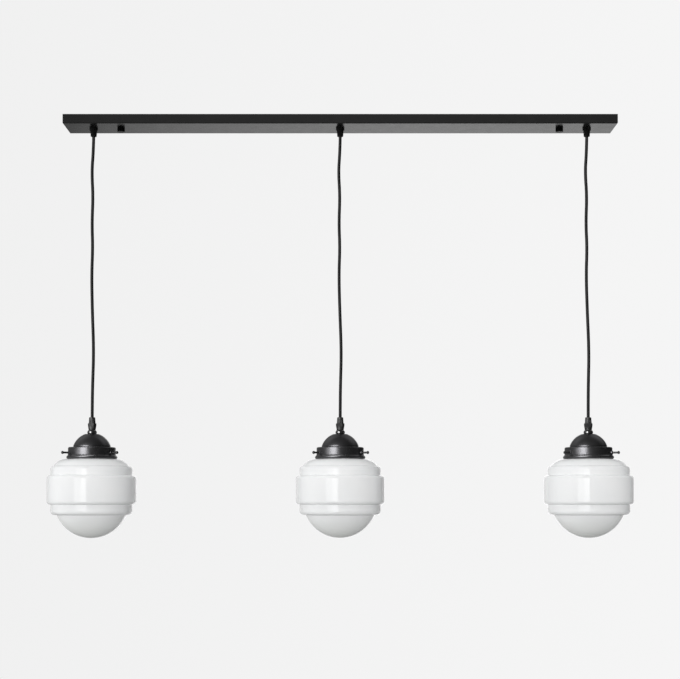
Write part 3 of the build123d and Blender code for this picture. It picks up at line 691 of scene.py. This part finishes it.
def studio_floor():
    """Pale round floor far below, fading out towards its edge."""
    level, radius = -2.4, 6.0
    material, tree, shader = principled("floor_paint", {"Roughness": 0.7})
    places = own_places(tree)
    speck = noise(tree, places, 3.0, 4.0)
    tone = ramp(tree, speck, (0.3, grey(0.56)), (0.7, grey(0.60)))
    tree.links.new(tone, shader.inputs["Base Color"])
    reach = add_node(tree, "ShaderNodeVectorMath", {0: places}, operation="LENGTH").outputs["Value"]
    fade = add_node(
        tree,
        "ShaderNodeMapRange",
        {"Value": reach, "From Min": 2.5, "From Max": 5.8, "To Min": 1.0, "To Max": 0.0},
        interpolation_type="SMOOTHSTEP",
    ).outputs["Result"]
    tree.links.new(fade, shader.inputs["Alpha"])
    shader.inputs["Emission Color"].default_value = (1.0, 1.0, 1.0, 1.0)
    tree.links.new(maths(tree, "MULTIPLY", camera_ray(tree), 0.55), shader.inputs["Emission Strength"])
    mesh = bmesh.new()
    bmesh.ops.create_circle(mesh, cap_ends=True, segments=96, radius=radius)
    data = bpy.data.meshes.new("floor")
    mesh.to_mesh(data)
    mesh.free()
    data.materials.append(material)
    floor = bpy.data.objects.new("floor", data)
    scene.collection.objects.link(floor)
    floor.location.z = level


def studio_world():
    """White surroundings: bright behind the object, dimmer on the camera's side and brighter at its left."""
    world = bpy.data.worlds.new("studio")
    scene.world = world
    world.use_nodes = True
    tree = world.node_tree
    glow = tree.nodes["Background"]
    glow.inputs["Color"].default_value = (1.0, 1.0, 1.0, 1.0)
    facing = add_node(tree, "ShaderNodeTexCoord").outputs["Generated"]
    xyz = add_node(tree, "ShaderNodeSeparateXYZ", {"Vector": facing}).outputs
    front = spread(tree, xyz["X"], 0.19, 0.04, -0.8, 0.8)
    across = spread(tree, xyz["X"], 0.0, 1.0, -0.5, 0.5)
    stops = (0.0, 0.25), (0.2, 0.2), (0.28, 0.05), (0.36, 0.6), (0.55, 1.0), (0.72, 0.95), (0.95, 0.2)
    rear = ramp(tree, across, *[(at, grey(0.96 * tone)) for at, tone in stops])
    depth = spread(tree, xyz["Y"], 0.0, 1.0, 0.76, 0.95)
    level = add_node(tree, "ShaderNodeMix", {0: depth, 2: front, 3: rear}).outputs[0]
    overhead = spread(tree, maths(tree, "ABSOLUTE", xyz["X"]), 0.18, 0.6, 0.1, 0.6)
    above = spread(tree, xyz["Z"], 0.0, 1.0, 0.3, 0.8)
    behind = spread(tree, xyz["Y"], 0.0, 1.0, -0.05, 0.3)
    high = maths(tree, "MULTIPLY", above, behind)
    light = add_node(tree, "ShaderNodeMix", {0: high, 2: level, 3: overhead}).outputs[0]
    tree.links.new(light, glow.inputs["Strength"])
    seen = add_node(tree, "ShaderNodeBackground", {"Strength": 1.0})
    paper_side = spread(tree, xyz["X"], 0.0, 1.0, -0.25, 0.25)
    paper = ramp(tree, paper_side, (0.0, grey(0.875)), (1.0, grey(0.915)))
    tree.links.new(paper, seen.inputs["Color"])
    mix = add_node(tree, "ShaderNodeMixShader", {0: camera_ray(tree)})
    tree.links.new(glow.outputs["Background"], mix.inputs[1])
    tree.links.new(seen.outputs["Background"], mix.inputs[2])
    tree.links.new(mix.outputs["Shader"], tree.nodes["World Output"].inputs["Surface"])


def softbox(name, azimuth, elevation, width, height, brightness):
    """Rectangular lamp aimed at the object; its azimuth turns from the camera's side towards +X."""
    light = bpy.data.lights.new(name, "AREA")
    light.shape = "RECTANGLE"
    light.size, light.size_y = width, height
    light.energy = brightness * LAMP_POWER * width * height
    lamp = bpy.data.objects.new(name, light)
    scene.collection.objects.link(lamp)
    a, e = radians(azimuth), radians(elevation)
    away = Vector((sin(a) * cos(e), -cos(a) * cos(e), sin(e)))
    lamp.location = Vector(LAMP_TARGET) + away * LAMP_DISTANCE
    lamp.rotation_euler = away.to_track_quat("Z", "Y").to_euler()
    lamp.visible_camera = False
    return lamp


def light_split(lamp, state, *pieces):
    """Lets a lamp light only some pieces (INCLUDE) or all but them (EXCLUDE), as flags do in a studio."""
    lit = bpy.data.collections.new(f"lit_by_{lamp.name}")
    for piece in pieces:
        lit.objects.link(piece)
    for entry in lit.collection_objects:
        entry.light_linking.link_state = state
    lamp.light_linking.receiver_collection = lit


def camera():
    """Camera at the photograph's viewing angle."""
    data = bpy.data.cameras.new("camera")
    data.sensor_width = SENSOR
    data.lens = CAMERA_LENS
    data.shift_x, data.shift_y = CAMERA_SHIFT
    made = bpy.data.objects.new("camera", data)
    scene.collection.objects.link(made)
    made.location = CAMERA_PLACE
    made.rotation_euler = (radians(90.0 + CAMERA_PITCH), 0.0, 0.0)
    scene.camera = made


camera()
studio_floor()
studio_world()
glasses = [scene.objects[f"shade_{side}"] for side in PENDANTS]
galleries = [scene.objects[f"spun_gallery_{side}"] for side in PENDANTS]
beam = nodes["beam_housing"]
under_beam = [nodes[name] for name in ("upper_grips", "ceiling_nut_left", "ceiling_nut_right")]

# Each lamp has its azimuth and elevation in degrees, width and height in metres, and brightness
light_split(softbox("key", -33.0, 9.0, 9.0, 13.0, 6.0), "EXCLUDE", *glasses, beam, *under_beam)
light_split(softbox("key_side", -58.0, 8.0, 6.0, 12.0, 1.6), "EXCLUDE", *glasses, beam, *under_beam)
light_split(softbox("beam_front", 0.0, 14.0, 9.0, 7.0, 0.36), "INCLUDE", beam)
light_split(softbox("gallery_high", -60.0, 68.0, 5.0, 14.0, 4.0), "INCLUDE", *galleries)
light_split(softbox("glass_strip", -13.0, -8.0, 4.0, 12.0, 4.0), "INCLUDE", *glasses)
gleam = softbox("glass_gleam", -28.0, -8.0, 4.5, 12.0, 2.2)
gleam.visible_diffuse = False
light_split(gleam, "INCLUDE", *glasses)
light_split(softbox("glass_rim_left", -160.0, 0.0, 12.0, 12.0, 0.3), "INCLUDE", *glasses)
light_split(softbox("glass_rim_right", 160.0, 0.0, 12.0, 12.0, 0.3), "INCLUDE", *glasses)
for lamp in (
    softbox("glass_left", -95.0, 4.0, 14.0, 12.0, 1.5),
    softbox("glass_front", -28.0, 4.0, 18.0, 12.0, 1.35),
    softbox("glass_right", 78.0, 4.0, 12.0, 12.0, 1.7),
    softbox("glass_top", 0.0, 66.0, 12.0, 12.0, 1.65),
    softbox("glass_back", -165.0, 6.0, 18.0, 14.0, 1.3),
):
    lamp.visible_glossy = False
    light_split(lamp, "INCLUDE", *glasses)
scene.view_settings.view_transform = "Standard"
